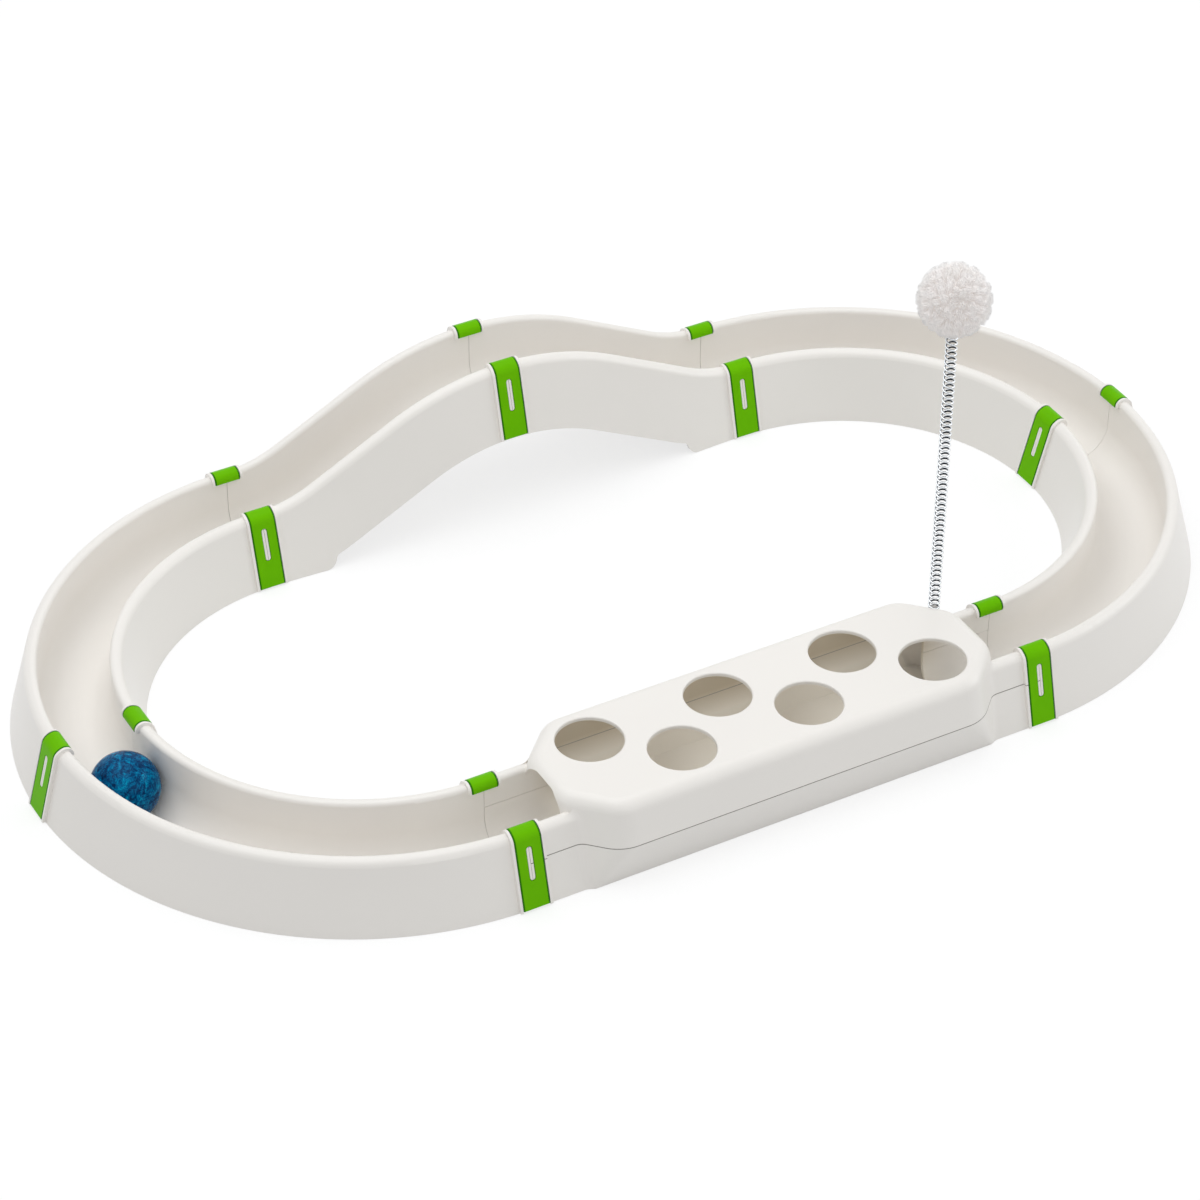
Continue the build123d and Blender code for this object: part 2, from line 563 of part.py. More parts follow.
def assembled():
    """Every piece in its place about the middle of the loop."""
    pieces = {}
    bend = bend_shape()
    quarters = ["bend_back_right", "bend_back_left", "bend_front_left", "bend_front_right"]
    for index, name in enumerate(quarters):
        side = BEND_RADIUS if name.endswith("right") else -BEND_RADIUS
        pieces[name] = Pos(side, 0, 0) * Rot(0, 0, 90 * index) * bend
    ramp = ramp_shape()
    pieces["ramp_left"] = Pos(-BEND_RADIUS, BEND_RADIUS, 0) * Rot(0, 0, -90) * ramp
    pieces["ramp_right"] = Pos(BEND_RADIUS, BEND_RADIUS, 0) * Rot(0, 0, 90) * ramp
    tray, cover = tunnel_halves()
    pieces["tunnel_tray"] = Pos(0, -BEND_RADIUS, 0) * tray
    pieces["tunnel_cover"] = Pos(0, -BEND_RADIUS, 0) * cover
    clip = clip_shape()
    for name, (across, along, height, way) in JOINTS.items():
        for side, turn in (("inner", 0), ("outer", 180)):
            pieces[f"clip_{name}_{side}"] = Pos(across, along, height) * Rot(0, 0, way + turn) * clip
    angle = math.radians(180 + BALL_REST_ANGLE)
    ball = Pos(BEND_RADIUS * (math.cos(angle) - 1), BEND_RADIUS * math.sin(angle), BALL_HEIGHT)
    upper, lower = ball_halves()
    pieces["ball_upper_half"] = ball * upper
    pieces["ball_lower_half"] = ball * lower
    stem = Pos(BEND_RADIUS - POST_FROM_JOINT, POST_FROM_CENTRELINE - BEND_RADIUS, 0)
    pieces["spring_foot"] = stem * Pos(0, 0, FLANGE_UNDERSIDE) * foot_shape()
    pieces["spring"] = stem * Pos(0, 0, SPRING_START) * spring_shape()
    pieces["pompom_core"] = stem * Pos(0, 0, CORE_UNDERSIDE) * core_shape()
    pompom = pompom_shape(CORE_UNDERSIDE - POMPOM_CENTRE)
    pieces["pompom"] = stem * Pos(0, 0, POMPOM_CENTRE) * pompom
    return pieces


os.makedirs("parts", exist_ok=True)
for node, piece in assembled().items():
    export_step(Pos(0, LOOP_Y, 0) * piece, f"parts/{node}.step")
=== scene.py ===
"""Looks of the cat ball track.

White mouldings, green joint clips, a marbled ball and a furry teaser on a spring.
"""

import json
import math

import bpy
import numpy as np
from mathutils import Matrix, Vector

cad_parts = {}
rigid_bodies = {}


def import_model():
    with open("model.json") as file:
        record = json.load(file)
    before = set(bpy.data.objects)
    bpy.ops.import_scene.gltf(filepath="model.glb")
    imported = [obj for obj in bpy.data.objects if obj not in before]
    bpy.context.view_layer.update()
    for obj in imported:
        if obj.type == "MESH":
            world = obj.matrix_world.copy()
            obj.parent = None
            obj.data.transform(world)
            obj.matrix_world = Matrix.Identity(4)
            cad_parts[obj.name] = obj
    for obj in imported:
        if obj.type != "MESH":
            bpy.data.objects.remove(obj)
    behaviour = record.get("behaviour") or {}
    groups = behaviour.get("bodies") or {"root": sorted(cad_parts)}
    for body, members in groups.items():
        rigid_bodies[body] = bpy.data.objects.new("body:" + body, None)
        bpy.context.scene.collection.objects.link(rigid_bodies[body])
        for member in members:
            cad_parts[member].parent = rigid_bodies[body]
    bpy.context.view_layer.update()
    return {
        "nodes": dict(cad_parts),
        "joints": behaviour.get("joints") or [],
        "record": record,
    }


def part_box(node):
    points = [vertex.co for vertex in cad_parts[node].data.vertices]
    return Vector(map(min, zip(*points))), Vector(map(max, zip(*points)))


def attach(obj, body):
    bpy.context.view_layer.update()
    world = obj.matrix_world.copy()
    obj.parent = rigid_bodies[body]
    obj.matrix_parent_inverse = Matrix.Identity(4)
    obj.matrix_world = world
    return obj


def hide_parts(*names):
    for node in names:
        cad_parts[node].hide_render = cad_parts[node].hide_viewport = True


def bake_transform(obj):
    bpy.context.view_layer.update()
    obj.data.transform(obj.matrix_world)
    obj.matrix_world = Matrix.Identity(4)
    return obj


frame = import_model()

# Lengths in millimetres, as in the part's source
MM = 0.001
BEND_RADIUS = 170.0
SEAM_HEIGHT = 28.15
TRAY_LEAN = 8.0
COVER_LEAN = 5.4
BALL_DIAMETER = 41.0
BALL_WALL = 2.0
BALL_SEAM_ROUND = 0.35
COIL_DIAMETER = 6.2
WIRE_DIAMETER = 1.2
COIL_PITCH = 3.69
SPRING_START = 31.2
PILE_DIAMETER = 45.4
PILE_CORE_DIAMETER = 33.0

# Lengths in millimetres that only the looks have
# Widths of the painted shadow lines in the tunnel's seam gap and in the gaps at the joints
SEAM_SHADOW_WIDTH = 0.55
JOINT_SHADOW_WIDTH = 0.5
# Where the painted shadow along the clips' edges lies, and its width
CLIP_EDGE = 7.9
CLIP_EDGE_BAND = 1.0
CHANNEL_WIDTH = 48.0
ROOM_FADE = (115.0, 140.0)
ROOM_HALF_WIDTH = 48.0
ROOM_CORNER = 167.2
ROOM_BELOW_TOP = 8.0
# Heights over which the painted light low in the tunnel turns into painted shade higher up
ROOM_PAINTED_LIGHT_HEIGHTS = (16.0, 32.0)
TUFT_SPACING = 3.8
TUFT_LEAN = 2.6
STRAND_STRAY = 0.9

# Counts, shares and angles in degrees
BALL_SEAM_TILT = 28.0
BALL_OUTER_POINTS = 40
BALL_INNER_POINTS = 16
BALL_TURN_STEP = 4
BALL_SHARP_ANGLE = 50
COIL_TURNS = 60
# How the coil's painted highlight and painted shade follow the way the wire faces
COIL_MIDDLE_SHADE = 0.5
COIL_UPWARD_SHADE = 0.4
COIL_OUTWARD_SHADE = 0.3
PILE_STRANDS = 11500
TUFT_GATHER = 0.5
TUFTS_MOST_DENSE = 4.0e6
STRAND_SHORTEST = 0.94
STRAND_ROOT = 0.034
STRAND_SIDES = 3
# Strength of the painted shadow line in the joint gaps
JOINT_SHADOW_SHARE = 0.28
# Strength of the painted glow inside the tunnel
ROOM_PAINTED_GLOW = 0.062

# Planes where pieces of the loop meet: the axis across each and its place from the loop's middle
SIDE_JOINTS = [("X", -BEND_RADIUS), ("X", 0.0), ("X", BEND_RADIUS)]
END_JOINTS = [("Y", 0.0)]

# Colours, and the stops of colour ramps
BLACK = (0.0, 0.0, 0.0)
PURE_WHITE = (1.0, 1.0, 1.0)
COOL_WHITE = (0.98, 0.992, 1.0)
WHITE_TONES = ((0.870, 0.838, 0.797), (0.897, 0.866, 0.824))
GREEN_TONES = ((0.128, 0.480, 0.0), (0.160, 0.535, 0.0))
# Painted shadow along the clips' edges
CLIP_EDGE_SHADOW_COLOUR = (0.030, 0.210, 0.0)
# Painted shadow in the seam and joint gaps
GAP_SHADOW_COLOUR = (0.40, 0.38, 0.35)
# Painted light low in the tunnel and painted shade higher up inside it
ROOM_PAINTED_LIGHT_COLOUR = (0.950, 0.908, 0.828)
ROOM_PAINTED_SHADE_COLOUR = (0.690, 0.615, 0.495)
# Colour of the pompom's painted glow
PILE_PAINTED_GLOW_COLOUR = (1.0, 0.97, 0.96)
MARBLE_STOPS = [
    (0.34, (0.000, 0.008, 0.040)),
    (0.46, (0.000, 0.050, 0.150)),
    (0.56, (0.000, 0.150, 0.330)),
    (0.66, (0.000, 0.360, 0.560)),
    (0.78, (0.080, 0.620, 0.720)),
]
# The spring's painted shade, dark, up to its painted highlight, bright
STEEL_PAINTED_LIGHT_STOPS = [(0.52, (0.006, 0.008, 0.014)), (0.70, (0.09, 0.12, 0.15)), (0.84, (0.84, 0.87, 0.90))]
# Painted shade at the pompom's fibre roots, lighter towards the tips
PILE_ROOT_SHADE_STOPS = [(0.10, (0.88, 0.845, 0.83)), (0.75, (1.0, 0.975, 0.965))]
PILE_TUFT_STOPS = [(0.0, (0.94, 0.94, 0.93)), (1.0, PURE_WHITE)]

# The studio in metres and watts: each softbox has a name, a place, a size and a power
AMBIENT = 0.58
SOFTBOXES = [
    ("top_softbox", (-0.4, 0.3, 2.3), 2.4, 27.5),
    ("front_softbox", (0.3, -2.5, 1.1), 1.4, 2.6),
    ("right_softbox", (2.3, -0.9, 1.2), 1.4, 11.0),
]
FLOOR_HALF = 6.0
FLOOR_HEIGHT = -0.0002
FLOOR_BOUNCE = 0.70
FLOOR_SHADE = 0.30
FLOOR_GLOW = 0.72
SHADOW_REACH = (0.7, 1.5)

# The camera that the photograph fits, in millimetres and degrees about the middle of the loop
CAMERA_AZIMUTH = 29.938
CAMERA_ELEVATION = 36.969
CAMERA_ROLL = 0.664
CAMERA_TARGET = Vector((23.03, 24.18, -2.7))
CAMERA_DISTANCE = 2517.0
CAMERA_LENS = 122.54
CAMERA_SENSOR = 36.0
CAMERA_SHIFT = (-0.02515, -0.00835)
CAMERA_REACH = 50.0

# Places in the shared frame, in metres
joint_at = {joint["name"]: Vector(joint["pos_m"]) for joint in frame["joints"]}
STEM = joint_at["teaser_turn"]
LOOP_MIDDLE = Vector((0.0, joint_at["ball_travel"].y, 0.0))
BALL_CENTRE = sum(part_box("ball_upper_half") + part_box("ball_lower_half"), Vector()) / 4
POMPOM_CENTRE = sum(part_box("pompom"), Vector()) / 2
TUNNEL_CENTRE = sum(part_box("tunnel_cover"), Vector()) / 2
TUNNEL_FOOT = Vector((TUNNEL_CENTRE.x, TUNNEL_CENTRE.y, 0.0))
TUNNEL_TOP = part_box("tunnel_cover")[1].z


def metres(lengths):
    """Lengths in millimetres as metres."""
    return tuple(length * MM for length in lengths)


def opaque(colour):
    """A colour with its alpha."""
    return (*colour, 1.0)


class Wire:
    """A node's output that adds Math nodes when it is used in arithmetic."""

    def __init__(self, graph, output):
        self.graph = graph
        self.output = output

    def __add__(self, other):
        return self.graph.math("ADD", self, other)

    def __sub__(self, other):
        return self.graph.math("SUBTRACT", self, other)

    def __rsub__(self, other):
        return self.graph.math("SUBTRACT", other, self)

    def __mul__(self, other):
        return self.graph.math("MULTIPLY", self, other)

    __radd__ = __add__


class Graph:
    """A node tree: node() adds a node with its settings, then joins or sets its inputs."""

    def __init__(self, tree):
        self.tree = tree

    def plug(self, socket, value):
        if isinstance(value, Wire):
            self.tree.links.new(value.output, socket)
        else:
            socket.default_value = value

    def node(self, kind, inputs=None, output=0, stops=None, **settings):
        made = self.tree.nodes.new(kind)
        for name, value in settings.items():
            setattr(made, name, value)
        if stops:
            ramp = made.color_ramp.elements
            while len(ramp) < len(stops):
                ramp.new(0.5)
            for element, (place, colour) in zip(ramp, stops):
                element.position = place
                element.color = opaque(colour)
        for key, value in (inputs or {}).items():
            self.plug(made.inputs[key], value)
        return Wire(self, made.outputs[output]) if made.outputs else None

    def math(self, operation, *values):
        return self.node("ShaderNodeMath", dict(enumerate(values)), operation=operation)

    def vector(self, operation, *vectors, output=0):
        return self.node("ShaderNodeVectorMath", dict(enumerate(vectors)), output, operation=operation)

    def scaled(self, vector, size):
        return self.node("ShaderNodeVectorMath", {0: vector, "Scale": size}, operation="SCALE")

    def span(self, value, ends, results=(0.0, 1.0)):
        """Takes a value between two ends to between two results, and holds it past them."""
        inputs = {"Value": value, "From Min": ends[0], "From Max": ends[1]}
        return self.node("ShaderNodeMapRange", {**inputs, "To Min": results[0], "To Max": results[1]})


class Finish(Graph):
    """A material on a Principled shader, with patterns in the object's own coordinates."""

    def __init__(self, name):
        self.material = bpy.data.materials.new(name)
        self.material.use_nodes = True
        super().__init__(self.material.node_tree)
        self.shader = self.tree.nodes["Principled BSDF"]

    def place(self, centre=(0.0, 0.0, 0.0)):
        here = self.node("ShaderNodeTexCoord", output="Object")
        away = tuple(-value for value in centre)
        return self.node("ShaderNodeMapping", {"Vector": here, "Location": away})

    def along(self, axis, centre=(0.0, 0.0, 0.0)):
        return self.node("ShaderNodeSeparateXYZ", {0: self.place(centre)}, output=axis)

    def near(self, value, middle, width):
        """One where a value in metres is inside a width about a middle, both in millimetres."""
        return self.math("COMPARE", value, middle * MM, width / 2 * MM)

    def noise(self, place, scale, detail, distortion=0.0):
        inputs = {"Vector": place, "Scale": scale, "Detail": detail, "Distortion": distortion}
        return self.node("ShaderNodeTexNoise", inputs, output="Fac")

    def ramp(self, share, stops):
        return self.node("ShaderNodeValToRGB", {"Fac": share}, stops=stops)

    def mix(self, share, first, second, blend="MIX"):
        """Mixes two colours, each a wire or three values, on the colour sockets of a Mix node."""
        first, second = (end if isinstance(end, Wire) else opaque(end) for end in (first, second))
        inputs = {0: share, 6: first, 7: second}
        return self.node("ShaderNodeMix", inputs, output=2, data_type="RGBA", blend_type=blend)

    def attribute(self, name):
        return self.node("ShaderNodeAttribute", output="Fac", attribute_name=name)

    def fine_grain(self, grain):
        inputs = {"Height": grain, "Strength": 0.10, "Distance": 0.00004}
        return self.node("ShaderNodeBump", inputs)

    def done(self, **inputs):
        for name, value in inputs.items():
            self.plug(self.shader.inputs[name.replace("_", " ")], value)
        return self.material


def beside_joints(finish, joints, offsets, width):
    """One in bands at some offsets from planes where pieces of the loop meet."""
    bands = []
    for axis, place in joints:
        away = finish.along(axis, LOOP_MIDDLE)
        bands += [finish.near(away, place + offset, width) for offset in offsets]
    return sum(bands[1:], bands[0])


def joint_shadow_lines(finish):
    """A faint painted shadow line where the long sides of the loop meet the bends and each other."""
    # Painted shadow line in the joint gaps
    return beside_joints(finish, SIDE_JOINTS, [0.0], JOINT_SHADOW_WIDTH) * JOINT_SHADOW_SHARE


def seam_shadow_lines(finish):
    """One along the tunnel's parting seam outside the channel, where a shadow line is painted."""
    # Painted shadow line in the seam gap
    on_seam = finish.near(finish.along("Z"), SEAM_HEIGHT, SEAM_SHADOW_WIDTH)
    in_channel = finish.near(finish.along("Y", TUNNEL_CENTRE), 0.0, CHANNEL_WIDTH)
    return on_seam * (1.0 - in_channel)


def tunnel_room(finish):
    """One on the inner walls and the floor of the tunnel, whose sides lean both ways from the seam."""
    along = finish.math("ABSOLUTE", finish.along("X", TUNNEL_FOOT))
    across = finish.math("ABSOLUTE", finish.along("Y", TUNNEL_FOOT))
    height = finish.along("Z", TUNNEL_FOOT)
    seam = SEAM_HEIGHT * MM
    below = finish.span(height, (seam, 0.0), (0.0, TRAY_LEAN * MM))
    above = finish.span(height, (seam, TUNNEL_TOP), (0.0, COVER_LEAN * MM))
    between_ends = finish.span(along, metres(ROOM_FADE), (1.0, 0.0))
    between_sides = finish.math("LESS_THAN", across + (below + above), ROOM_HALF_WIDTH * MM)
    cut = along + across + above * math.sqrt(2)
    between_corners = finish.math("LESS_THAN", cut, ROOM_CORNER * MM)
    under_top = finish.math("LESS_THAN", height, TUNNEL_TOP - ROOM_BELOW_TOP * MM)
    return between_ends * between_sides * between_corners * under_top


def painted_room_light(finish, outside):
    """Painted light and shade in the tunnel's browner inside, darker up high, and a painted glow below the
    seam for light through thin walls.
    """
    inside = tunnel_room(finish)
    # Painted light low down and painted shade higher up, with a painted glow low down
    low = finish.span(finish.along("Z"), metres(ROOM_PAINTED_LIGHT_HEIGHTS), (1.0, 0.0))
    colour = finish.mix(low, ROOM_PAINTED_SHADE_COLOUR, ROOM_PAINTED_LIGHT_COLOUR)
    glow = finish.mix(inside * low, BLACK, colour)
    finish.done(Emission_Color=glow, Emission_Strength=ROOM_PAINTED_GLOW)
    return finish.mix(inside, outside, colour)


def white_plastic(name, lines, room=None):
    """Satin white moulding with faint flow marks and a fine spark-eroded grain, with painted shadow along
    some lines.
    """
    finish = Finish(name)
    place = finish.place()
    flow = finish.noise(place, scale=11.0, detail=2.0, distortion=0.6)
    grain = finish.noise(place, scale=1900.0, detail=2.0)
    scuff = finish.noise(place, scale=160.0, detail=4.0)
    clean = finish.mix(flow, *WHITE_TONES)
    if room:
        # Painted light and shade inside the tunnel, when a room is given
        clean = room(finish, clean)
    # Painted shadow along the given lines
    colour = finish.mix(lines(finish), clean, GAP_SHADOW_COLOUR)
    rough = 0.24 + flow * 0.08 + scuff * 0.08
    return finish.done(Base_Color=colour, Roughness=rough, Normal=finish.fine_grain(grain), IOR=1.49)


def green_plastic():
    """Bright green moulding of the clips, with painted shadow along the edges."""
    finish = Finish("green_plastic")
    place = finish.place()
    flow = finish.noise(place, scale=60.0, detail=2.0, distortion=0.4)
    grain = finish.noise(place, scale=1700.0, detail=2.0)
    # Painted shadow along the clips' long edges
    edges = beside_joints(finish, SIDE_JOINTS + END_JOINTS, [-CLIP_EDGE, CLIP_EDGE], CLIP_EDGE_BAND)
    colour = finish.mix(edges, finish.mix(flow, *GREEN_TONES), CLIP_EDGE_SHADOW_COLOUR)
    rough = 0.30 + flow * 0.12
    normal = finish.fine_grain(grain)
    return finish.done(Base_Color=colour, Roughness=rough, Normal=normal, Specular_IOR_Level=0.05)


def blue_marble():
    """Blue plastic of the ball, crinkled with navy and turquoise."""
    finish = Finish("blue_marble")
    place = finish.place(BALL_CENTRE)
    swirl = finish.noise(place, scale=95.0, detail=6.0, distortion=2.6)
    streak = finish.noise(place, scale=260.0, detail=6.0, distortion=4.0)
    colour = finish.ramp(swirl * 0.55 + streak * 0.45, MARBLE_STOPS)
    rough = 0.12 + streak * 0.08
    return finish.done(Base_Color=colour, Roughness=rough, Specular_IOR_Level=0.06)


def spring_steel():
    """Drawn wire with painted light: bright on the outside and top of the coil, painted shade on its inside
    and underside.
    """
    finish = Finish("spring_steel")
    marks = finish.noise(finish.place(), scale=2600.0, detail=2.0)
    # Painted highlight where the wire faces up and out, painted shade where it faces down and in
    colour = finish.ramp(finish.attribute("coil_side"), STEEL_PAINTED_LIGHT_STOPS)
    return finish.done(Base_Color=colour, Roughness=0.16 + marks * 0.14, Metallic=1.0)


def white_pile():
    """Soft warm white fibre of the pompom with painted shade at the roots and a faint painted glow, each
    tuft a little different.
    """
    finish = Finish("white_pile")
    height = finish.vector("LENGTH", finish.place(POMPOM_CENTRE), output="Value")
    tip = PILE_DIAMETER / 2 * MM
    root = PILE_CORE_DIAMETER / 2 * MM
    share = (height - root) * (1 / (tip - root))
    # Painted shade towards the roots of the fibres
    root_shade = finish.ramp(share, PILE_ROOT_SHADE_STOPS)
    tint = finish.ramp(finish.attribute("tuft_shade"), PILE_TUFT_STOPS)
    return finish.done(
        Base_Color=finish.mix(1.0, root_shade, tint, "MULTIPLY"),
        Roughness=0.9,
        Sheen_Weight=0.4,
        # Painted glow that brightens the pile
        Emission_Color=opaque(PILE_PAINTED_GLOW_COLOUR),
        Emission_Strength=0.16,
    )


def new_object(name, mesh, material=None):
    """A shown object at the origin."""
    made = bpy.data.objects.new(name, mesh)
    bpy.context.scene.collection.objects.link(made)
    if material:
        mesh.materials.append(material)
    return made


def mesh_from(name, points, faces):
    """A smooth mesh from points in millimetres."""
    mesh = bpy.data.meshes.new(name)
    mesh.from_pydata([tuple(point) for point in np.asarray(points) * MM], [], faces)
    mesh.shade_smooth()
    return mesh


class Maker(Graph):
    """A Geometry Nodes tree with named inputs, run once on a host mesh to give a plain mesh."""

    def __init__(self, name):
        super().__init__(bpy.data.node_groups.new(name, "GeometryNodeTree"))
        self.tree.interface.new_socket("Geometry", in_out="OUTPUT", socket_type="NodeSocketGeometry")
        self.start = None
        self.sizes = {}

    def size(self, name, value, kind="NodeSocketFloat"):
        socket = self.tree.interface.new_socket(name, in_out="INPUT", socket_type=kind)
        self.sizes[socket.identifier] = value
        self.start = self.start or self.tree.nodes.new("NodeGroupInput")
        return Wire(self, self.start.outputs[name])

    def random(self, low, high, seed, **item):
        """A random number for each point, or for each item by its ID."""
        inputs = {2: low, 3: high, "Seed": seed, **item}
        return self.node("FunctionNodeRandomValue", inputs, output=1)

    def random_step(self, most, seed, **item):
        """A random step for each point, or each item by its ID, up to a most in millimetres on each axis."""
        inputs = {0: (-most * MM,) * 3, 1: (most * MM,) * 3, "Seed": seed, **item}
        return self.node("FunctionNodeRandomValue", inputs, data_type="FLOAT_VECTOR")

    def keep(self, geometry, name, value):
        """Stores a value on the points of a geometry."""
        inputs = {"Geometry": geometry, "Name": name, "Value": value}
        return self.node("GeometryNodeStoreNamedAttribute", inputs, domain="POINT")

    def join(self, *geometries):
        made = self.tree.nodes.new("GeometryNodeJoinGeometry")
        for geometry in geometries:
            self.plug(made.inputs[0], geometry)
        return Wire(self, made.outputs[0])

    def move(self, geometry, step):
        return self.node("GeometryNodeTransform", {"Geometry": geometry, "Translation": step})

    def run(self, name, geometry, material):
        solid = self.node("GeometryNodeRealizeInstances", {"Geometry": geometry})
        painted = self.node("GeometryNodeSetMaterial", {"Geometry": solid, "Material": material})
        end = self.tree.nodes.new("NodeGroupOutput")
        self.plug(end.inputs[0], painted)
        host = new_object(name, bpy.data.meshes.new(name + "_host"))
        modifier = host.modifiers.new("made", "NODES")
        modifier.node_group = self.tree
        for identifier, value in self.sizes.items():
            modifier[identifier] = value
        host.update_tag()
        seen = host.evaluated_get(bpy.context.evaluated_depsgraph_get())
        mesh = bpy.data.meshes.new_from_object(seen)
        host.modifiers.remove(modifier)
        host.data = mesh
        mesh.name = name
        mesh.shade_smooth()
        return host


def spring_wire(material):
    """The teaser's coil: a round wire carried along a spiral, marked for painted light by how far it faces
    up and out.
    """
    maker = Maker("coiled_wire")
    turns = maker.size("Turns", float(COIL_TURNS))
    height = maker.size("Height", COIL_PITCH * COIL_TURNS * MM)
    coil = maker.size("Coil radius", COIL_DIAMETER / 2 * MM)
    wire = maker.size("Wire radius", WIRE_DIAMETER / 2 * MM)
    foot = maker.size("Foot", (STEM.x, STEM.y, SPRING_START * MM), "NodeSocketVector")
    spiral = {"Resolution": 28, "Rotations": turns, "Height": height}
    path = maker.node("GeometryNodeCurveSpiral", {**spiral, "Start Radius": coil, "End Radius": coil})
    round_wire = maker.node("GeometryNodeCurvePrimitiveCircle", {"Resolution": 12, "Radius": wire})
    tube_inputs = {"Curve": path, "Profile Curve": round_wire, "Fill Caps": True}
    tube = maker.node("GeometryNodeCurveToMesh", tube_inputs)
    facing = maker.node("GeometryNodeInputNormal")
    upward = maker.node("ShaderNodeSeparateXYZ", {0: facing}, output="Z")
    flat = maker.vector("MULTIPLY", maker.node("GeometryNodeInputPosition"), (1.0, 1.0, 0.0))
    outward = maker.vector("DOT_PRODUCT", facing, maker.vector("NORMALIZE", flat), output="Value")
    # Painted highlight on the wire's upper and outer faces, painted shade on its lower and inner ones
    side = upward * COIL_UPWARD_SHADE + outward * COIL_OUTWARD_SHADE + COIL_MIDDLE_SHADE
    shaded = maker.keep(tube, "coil_side", side)
    return maker.run("spring_coil", maker.move(shaded, foot), material)


def strand_mesh():
    """One fibre of the pile, one unit long on Z: three sided, bowed and tapered to a point."""
    rings = [(0.0, 0.0, 1.0), (0.36, 0.10, 0.95), (0.72, 0.11, 0.75)]
    sides = range(STRAND_SIDES)
    points = []
    for along, bow, thick in rings:
        radius = STRAND_ROOT * thick
        turns = [2 * math.pi * side / STRAND_SIDES for side in sides]
        points += [(bow + radius * math.cos(turn), radius * math.sin(turn), along) for turn in turns]
    tip = len(points)
    points.append((0.0, 0.0, 1.0))
    faces = []
    for low in range(0, tip - STRAND_SIDES, STRAND_SIDES):
        high = low + STRAND_SIDES
        for side in sides:
            after = (side + 1) % STRAND_SIDES
            faces.append((low + side, low + after, high + after, high + side))
    last = tip - STRAND_SIDES
    faces += [(last + side, last + (side + 1) % STRAND_SIDES, tip) for side in sides]
    return mesh_from("pile_strand", np.asarray(points) / MM, faces)


def pompom_pile(material):
    """The pompom: fibres standing on a round core, gathered into leaning tufts."""
    strand = new_object("pile_strand", strand_mesh())
    maker = Maker("standing_pile")
    radius = maker.size("Core radius", PILE_CORE_DIAMETER / 2 * MM)
    reach = maker.size("Tip radius", PILE_DIAMETER / 2 * MM)
    middle = maker.size("Middle", tuple(POMPOM_CENTRE), "NodeSocketVector")
    area = 4 * math.pi * (PILE_CORE_DIAMETER / 2 * MM) ** 2
    density = maker.size("Density", PILE_STRANDS / area)
    spacing = maker.size("Tuft spacing", TUFT_SPACING * MM)

    core = maker.node("GeometryNodeMeshIcoSphere", {"Radius": radius, "Subdivisions": 5})
    root_inputs = {"Mesh": core, "Density": density, "Seed": 7}
    roots = maker.node("GeometryNodeDistributePointsOnFaces", root_inputs)
    tuft_inputs = {"Mesh": core, "Distance Min": spacing, "Density Max": TUFTS_MOST_DENSE, "Seed": 2}
    tufts = maker.node("GeometryNodeDistributePointsOnFaces", tuft_inputs, distribute_method="POISSON")

    here = maker.node("GeometryNodeInputPosition")
    tuft = maker.node("GeometryNodeSampleNearest", {"Geometry": tufts, "Sample Position": here})
    middle_inputs = {"Geometry": tufts, "Value": here, "Index": tuft}
    tuft_middle = maker.node("GeometryNodeSampleIndex", middle_inputs, data_type="FLOAT_VECTOR")
    summit = maker.scaled(maker.vector("NORMALIZE", tuft_middle), reach)
    apart = maker.scaled(maker.vector("NORMALIZE", here), reach)
    step = maker.scaled(maker.vector("SUBTRACT", summit, apart), TUFT_GATHER)
    gathered = maker.vector("ADD", apart, step)

    leaning = maker.vector("ADD", gathered, maker.random_step(TUFT_LEAN, 21, ID=tuft))
    loose = maker.vector("ADD", leaning, maker.random_step(STRAND_STRAY, 3))
    length = reach * maker.random(STRAND_SHORTEST, 1.0, 11)
    tip = maker.scaled(maker.vector("NORMALIZE", loose), length)
    way = maker.vector("SUBTRACT", tip, here)

    stand = maker.node("FunctionNodeAlignRotationToVector", {"Vector": way}, axis="Z")
    spin = maker.node("ShaderNodeCombineXYZ", {"Z": maker.random(0.0, 2 * math.pi, 5)})
    spun = maker.node("FunctionNodeEulerToRotation", {0: spin})
    turned = maker.node("FunctionNodeRotateRotation", {0: stand, 1: spun}, rotation_space="LOCAL")
    size = maker.vector("LENGTH", way, output="Value")
    fibre = maker.node("GeometryNodeObjectInfo", {"Object": strand}, output="Geometry")
    shaded = maker.keep(roots, "tuft_shade", maker.random(0.0, 1.0, 8, ID=tuft))
    plant_inputs = {"Points": shaded, "Instance": fibre, "Rotation": turned, "Scale": size}
    planted = maker.node("GeometryNodeInstanceOnPoints", plant_inputs)
    pile = maker.run("pompom_pile", maker.move(maker.join(core, planted), middle), material)
    bpy.data.objects.remove(strand)
    return pile


def arc(radius, start, end, count):
    """Points on an arc about the origin between two angles in degrees."""
    return [(radius * math.cos(a), radius * math.sin(a)) for a in np.radians(np.linspace(start, end, count))]


